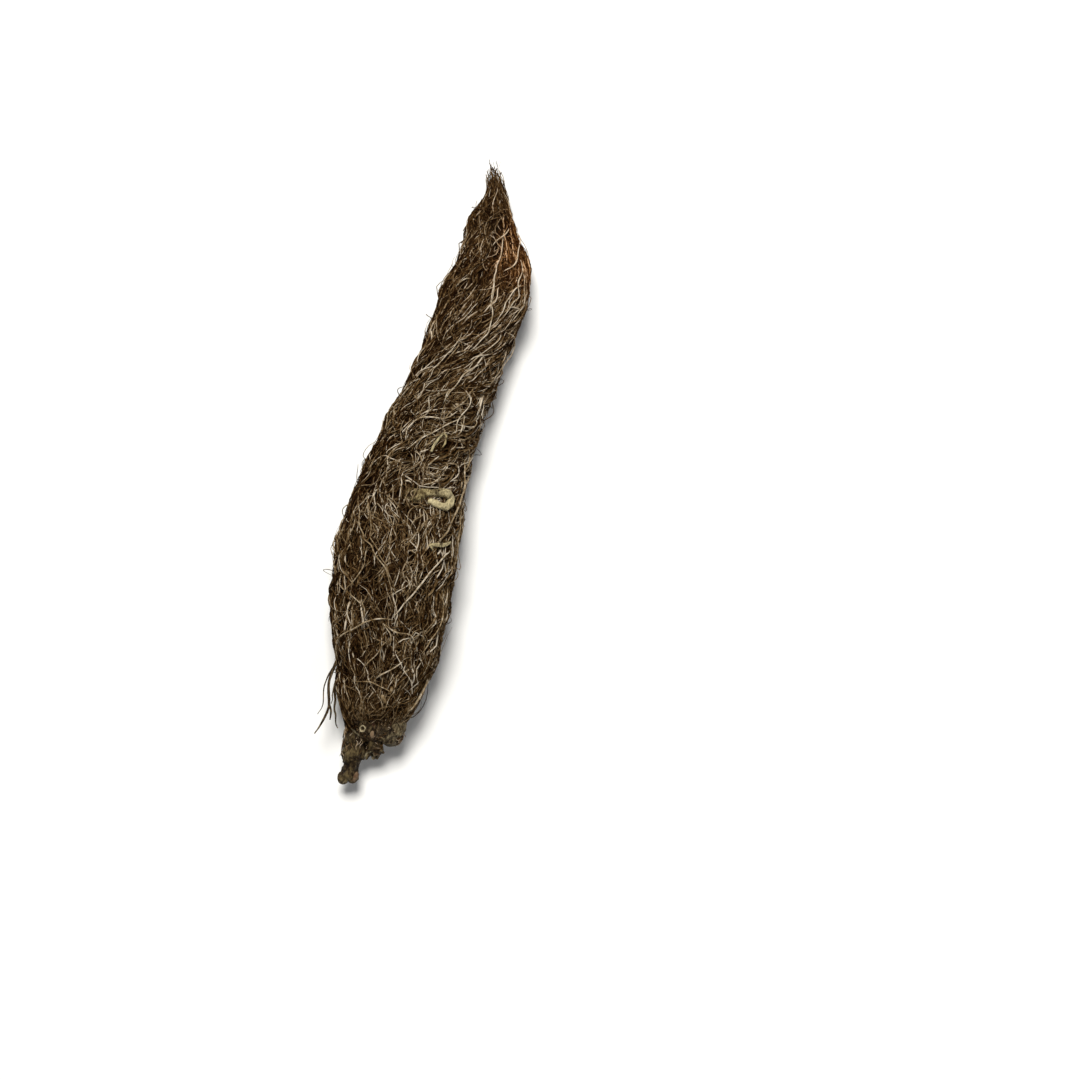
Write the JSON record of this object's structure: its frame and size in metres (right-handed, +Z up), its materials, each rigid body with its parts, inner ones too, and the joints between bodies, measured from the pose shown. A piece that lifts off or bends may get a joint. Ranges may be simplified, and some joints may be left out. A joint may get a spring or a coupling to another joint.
{
  "type": "jatamansi root",
  "caption": "Dried jatamansi root: a spindle of matted brown fibre with a woody broken stub at one end and a wispy neck at the other.",
  "frame": {"origin": "under the middle of the whole root, on the surface it lies on", "axes": "+Y along the root from the woody stub to the tufted neck, +X across it, +Z up"},
  "size_m": [0.0218, 0.1046, 0.0162],
  "materials": {
    "bark": "matte",
    "fibre": "matte",
    "pale_rootlet": "matte",
    "dark_rootlet": "matte"
  },
  "bodies": {
    "root": {"rhizome": "bark", "fibre_coat": "fibre", "curled_rootlet": "pale_rootlet", "folded_rootlet": "pale_rootlet", "hooked_rootlet": "pale_rootlet", "left_rootlet_long": "dark_rootlet", "left_rootlet_short": "dark_rootlet"}
  },
  "joints": []
}
